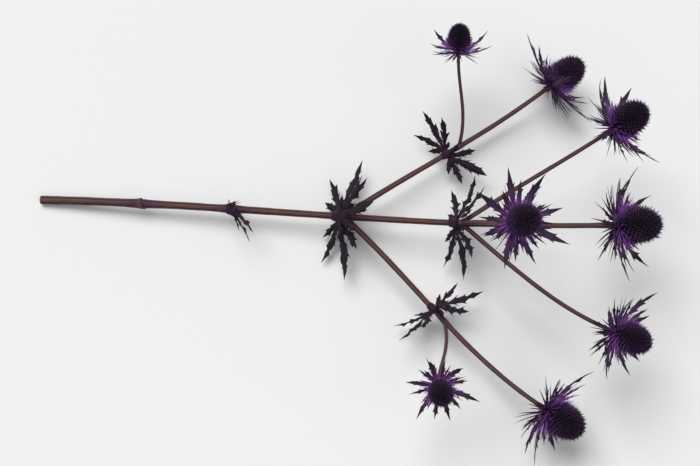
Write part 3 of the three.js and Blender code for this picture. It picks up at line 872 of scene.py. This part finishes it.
def calyx_shape():
    """A floret without its spines: a ribbed cup with a bud in it, and pointed sepals round it."""
    sides = 10
    turn = turns(sides)
    flute = 1 + 0.2 * np.cos(SEPALS * turn)
    points = [ring_at(turn, radius * flute, z) for radius, z, _ in CUP_PROFILE]
    points.append([[0, 0, -0.6], [0, 0, 1.8]])
    shares = [share for _, _, share in CUP_PROFILE for _ in turn] + [0.0, 0.4]
    faces, count = closed_skin(len(CUP_PROFILE), sides), len(shares)
    for k in range(SEPALS):
        out, beside = spoke_at(k * 2 * math.pi / SEPALS), spoke_at(k * 2 * math.pi / SEPALS + math.pi / 2)
        left, right = out * 0.92 + beside * 0.56 + UP * 0.8, out * 0.92 - beside * 0.56 + UP * 0.8
        keel, lining = out * 1.3 + UP * 1.5, out * 0.95 + UP * 1.7
        points.append([left, right, keel, lining, out * 1.42 + UP * 3.1])
        shares += [0.3, 0.3, 0.5, 0.4, 1.0]
        a, b, c, d, e = range(count, count + 5)
        faces += [(a, e, c), (c, e, b), (b, e, d), (d, e, a), (a, c, b), (b, d, a)]
        count += 5
    return np.concatenate(points), faces, np.array(shares)


SPINE, FINE_SPINE, CALYX = spine_shape(4), spine_shape(3), calyx_shape()


def axes_along(lean, spoke):
    """Axes for what stands out from the cone: down its side, round it, and along its own lean."""
    beside = np.cross(UP, spoke)
    return np.column_stack([np.cross(beside, lean), beside, lean])


def add_spine(growth, to, foot, axes, shape, length, thick, curve, seed, height):
    """One spine on the cone, leaning by chance a few degrees."""
    points, faces, shares = shape
    shaped = points * [thick, thick * 0.75, length]
    shaped[:, 0] -= curve * shares**2
    shaped[:, 0] += spread(seed + 0.21, 0.07) * length * shares
    shaped[:, 1] += spread(seed + 0.43, 0.07) * length * shares
    growth.add(
        moved(foot + shaped @ axes.T, to), faces, SPINE_FINISH, share=shares, tone=chance(seed),
        height=height / CONE_HEIGHT,
    )


def add_floret(growth, to, j, seed):
    """The j-th floret up the spirals: its calyx, a spine on its lower side and two finer ones."""
    part = ((j + 0.5) / FLORETS) ** 0.78
    at = min(OUTLINE_STEPS - 1, int(np.searchsorted(BELOW, part)))
    (radius, z), (slope_out, slope_up) = OUTLINE[at], SLOPE[at]
    spoke = spoke_at(math.radians(j * GOLDEN_TURN + seed))
    normal = spoke * slope_up - UP * slope_out
    low = max(0.0, 1 - part / 0.17)  # 1 at the foot of the cone, 0 above the skirt
    lean = unit(spoke * normal.dot(spoke) + UP * (max(normal[2], 0) + 0.32 * (1 - normal[2])))
    lean = unit(lean * (1 - 0.5 * low) + (spoke + UP * 0.46) * 0.5 * low)
    foot = spoke * radius * 0.93 + UP * z
    axes = axes_along(lean, spoke)
    size = (1.18 - 0.34 * part) * (1 + spread(seed + j, 0.08))
    points, faces, shares = CALYX
    spun = points @ place(("Z", 72 * chance(seed + j + 0.3)))[:3, :3].T
    growth.add(
        moved(foot + (spun * size) @ axes.T, to), faces, CORE_FINISH, share=shares,
        tone=chance(seed + j), height=z / CONE_HEIGHT,
    )
    length = (5.7 - 1.3 * part) * (1 + spread(seed + j + 0.7, 0.16))
    start = foot + axes[:, 0] * 1.15 * size
    add_spine(growth, to, start, axes, SPINE, length, 0.42, 0.5, seed + j, z)
    for hand in (-1, 1):
        start = foot + axes[:, 1] * hand * size + axes[:, 0] * 0.5
        shorter = length * (0.82 + spread(seed + j + 0.9 * hand, 0.1))
        add_spine(growth, to, start, axes, FINE_SPINE, shorter, 0.28, 0.3, seed + j + 0.1 * hand, z)


def add_cone(growth, to, seed):
    """The core, with the florets that stand on it."""
    turn = turns(CORE_SIDES)
    steps = np.linspace(0, CORE_TOP, CORE_RINGS).astype(int)
    rings = [ring_at(turn, radius * 0.92, z) for radius, z in OUTLINE[steps]]
    core = np.concatenate(rings + [[[0, 0, 0]], [[0, 0, CONE_HEIGHT * 0.985]]])
    growth.add(
        moved(core, to), closed_skin(CORE_RINGS, CORE_SIDES), CORE_FINISH, share=0.0, tone=0.3,
        height=core[:, 2] / CONE_HEIGHT,
    )
    for j in range(FLORETS):
        add_floret(growth, to, j, seed)


# How many spines, how high they stand, how long they are and how steeply they rise.
SKIRT_TIERS = ((20, 0.4, 17.5, 0.12), (20, 1.2, 16.0, 0.30), (18, 2.3, 13.5, 0.48), (16, 3.6, 11.0, 0.68))
BRIGHT = -1.0  # a height below the cone, at which spines have their brightest colour


def add_skirt(growth, to, seed):
    """The long spines round the cone's foot, each tier steeper than the one below."""
    for tier, (count, z, length, rise) in enumerate(SKIRT_TIERS):
        for i in range(count):
            n = seed + 40 * tier + i
            spoke = spoke_at(2 * math.pi * (i + 0.5 * tier + spread(n, 0.25)) / count)
            lean = unit(spoke + UP * (rise + spread(n + 0.6, 0.08)))
            foot = spoke * cone_radius(z / CONE_HEIGHT) * 0.85 + UP * z
            length_here = length * (1 + spread(n + 0.8, 0.14))
            add_spine(growth, to, foot, axes_along(lean, spoke), SPINE, length_here, 0.6, 0.9, n, BRIGHT)


# Florets: matt violet-black, and paler at the sepals' tips.
floret_skin, tree, shader = new_material("floret skin", Specular_IOR_Level=0.15)
tips = ramp(tree, point_value(tree, "share"), 0.35, 1.0)
colour = layered(
    tree, blend_colours(tree, tips, (0.0060, 0.0032, 0.0095), (0.170, 0.110, 0.190)),
    (times(tree, point_value(tree, "tone"), 0.5), (0.012, 0.006, 0.022)),
)
tree.links.new(colour, shader.inputs["Base Color"])
spot = put(tree, "ShaderNodeTexCoord").outputs["Object"]
speckle = put(tree, "ShaderNodeTexNoise", {"Vector": spot, "Scale": 1800.0, "Detail": 2.0}).outputs["Fac"]
tree.links.new(ramp(tree, speckle, 0.3, 0.7, 0.52, 0.72), shader.inputs["Roughness"])
bump(tree, shader, speckle, 0.0001, 0.6)

# Spines: bright violet low on the cone and darker up it, where they show how much dye the cone took.
spine_skin, tree, shader = new_material("spine skin", Specular_IOR_Level=0.25)
high = ramp(tree, point_value(tree, "height"), 0.05, 0.7)
upper = blend_colours(tree, point_value(tree, "dye"), (0.034, 0.015, 0.050), (0.110, 0.040, 0.165))
foot = ramp(tree, point_value(tree, "share"), 0.05, 0.55, 0.9, 0.0)
painted_shade_on_cone = ramp(tree, point_value(tree, "height"), 0.0, 0.12)
point = ramp(tree, point_value(tree, "share"), 0.6, 1.0)
colour = layered(
    tree, blend_colours(tree, high, (0.480, 0.170, 0.690), upper),
    # painted shade: the spines' feet on the cone are darkened to near-black where they stand down among
    # the florets
    (times(tree, foot, painted_shade_on_cone), (0.008, 0.004, 0.013)),  # near-black feet among the florets
    (times(tree, point, 0.6), blend_colours(tree, high, (0.320, 0.170, 0.430), (0.150, 0.100, 0.175))),
    (times(tree, point_value(tree, "tone"), 0.3), (0.040, 0.016, 0.064)),
)
tree.links.new(colour, shader.inputs["Base Color"])
tree.links.new(ramp(tree, point_value(tree, "tone"), 0, 1, 0.30, 0.46), shader.inputs["Roughness"])

for name, branch in branches.items():
    seed = branch["head"][2]
    # no two cones are quite alike in size, or in how much dye they took up
    growth = Growth(dye=chance(seed + 0.8))
    girth, height = 1 + spread(seed + 0.1, 0.04), 1 - 0.1 * chance(seed + 0.6)
    to = feet[name] @ place(("move", 0, 0, HUB_HEIGHT + 2 * GAP)) @ np.diag([girth, girth, height, 1])
    add_cone(growth, to, seed)
    add_skirt(growth, to, seed)
    cone = growth.piece(name + "_cone", floret_skin, spine_skin)
    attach(cone, "root")
    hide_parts(name + "_head")


# ---- Table, light and camera ----
# A matt white tabletop that runs out to a pale backdrop, lit evenly by a broad soft light from the
# upper left, a weaker one from the right, and the pale room. The camera looks down on the stem.

bpy.ops.mesh.primitive_plane_add(size=40, location=(0, 0, 0))
table = bpy.context.object
table.name = "table"
table_top, tree, shader = new_material("table top", Roughness=0.75)
spot = put(tree, "ShaderNodeTexCoord").outputs["Object"]
cloudy = put(tree, "ShaderNodeTexNoise", {"Vector": spot, "Scale": 0.9, "Detail": 1.0}).outputs["Fac"]
colour = blend_colours(tree, cloudy, (0.86, 0.86, 0.87), (0.91, 0.91, 0.92))
tree.links.new(colour, shader.inputs["Base Color"])
table.data.materials.append(table_top)

world = bpy.data.worlds.new("pale room")
bpy.context.scene.world = world
world.use_nodes = True
tree = world.node_tree
room = tree.nodes["Background"]
room.inputs["Color"].default_value = (0.95, 0.965, 1.0, 1)
# The backdrop shows as pale as the table, and lights the stem with a third of that.
seen = put(tree, "ShaderNodeLightPath").outputs["Is Camera Ray"]
tree.links.new(ramp(tree, seen, 0, 1, 0.29, 0.86), room.inputs["Strength"])


def soft_light(name, coming_from, strength, breadth):
    """Even light from one direction, as broad as a lamp that spans this many degrees."""
    lamp = bpy.data.lights.new(name, "SUN")
    lamp.energy, lamp.angle = strength, math.radians(breadth)
    lamp.color = (1.0, 0.985, 0.96)
    held = bpy.data.objects.new(name, lamp)
    x, y, z = coming_from
    held.rotation_euler = (math.atan2(math.hypot(x, y), z), 0, math.atan2(x, -y))
    bpy.context.scene.collection.objects.link(held)


soft_light("key light", (-0.9, 1.1, 2.5), 2.2, 44)
soft_light("fill light", (1.5, -0.9, 1.7), 0.5, 50)

AZIMUTH, ELEVATION, DISTANCE = math.radians(6), math.radians(72), 1.18
LOOK_AT = np.array([0.007, -0.013, 0.045])
LENS, NEAR_CLIP = 74, 0.01
level = np.array([math.sin(AZIMUTH), -math.cos(AZIMUTH), 0.0])
back = level * math.cos(ELEVATION) + UP * math.sin(ELEVATION)
camera_data = bpy.data.cameras.new("camera")
camera_data.lens = LENS
camera_data.clip_start = NEAR_CLIP
camera = bpy.data.objects.new("camera", camera_data)
camera.location = LOOK_AT + back * DISTANCE
camera.rotation_euler = (math.pi / 2 - ELEVATION, 0, AZIMUTH)
bpy.context.scene.collection.objects.link(camera)
bpy.context.scene.camera = camera
bpy.context.scene.view_settings.view_transform = "Standard"
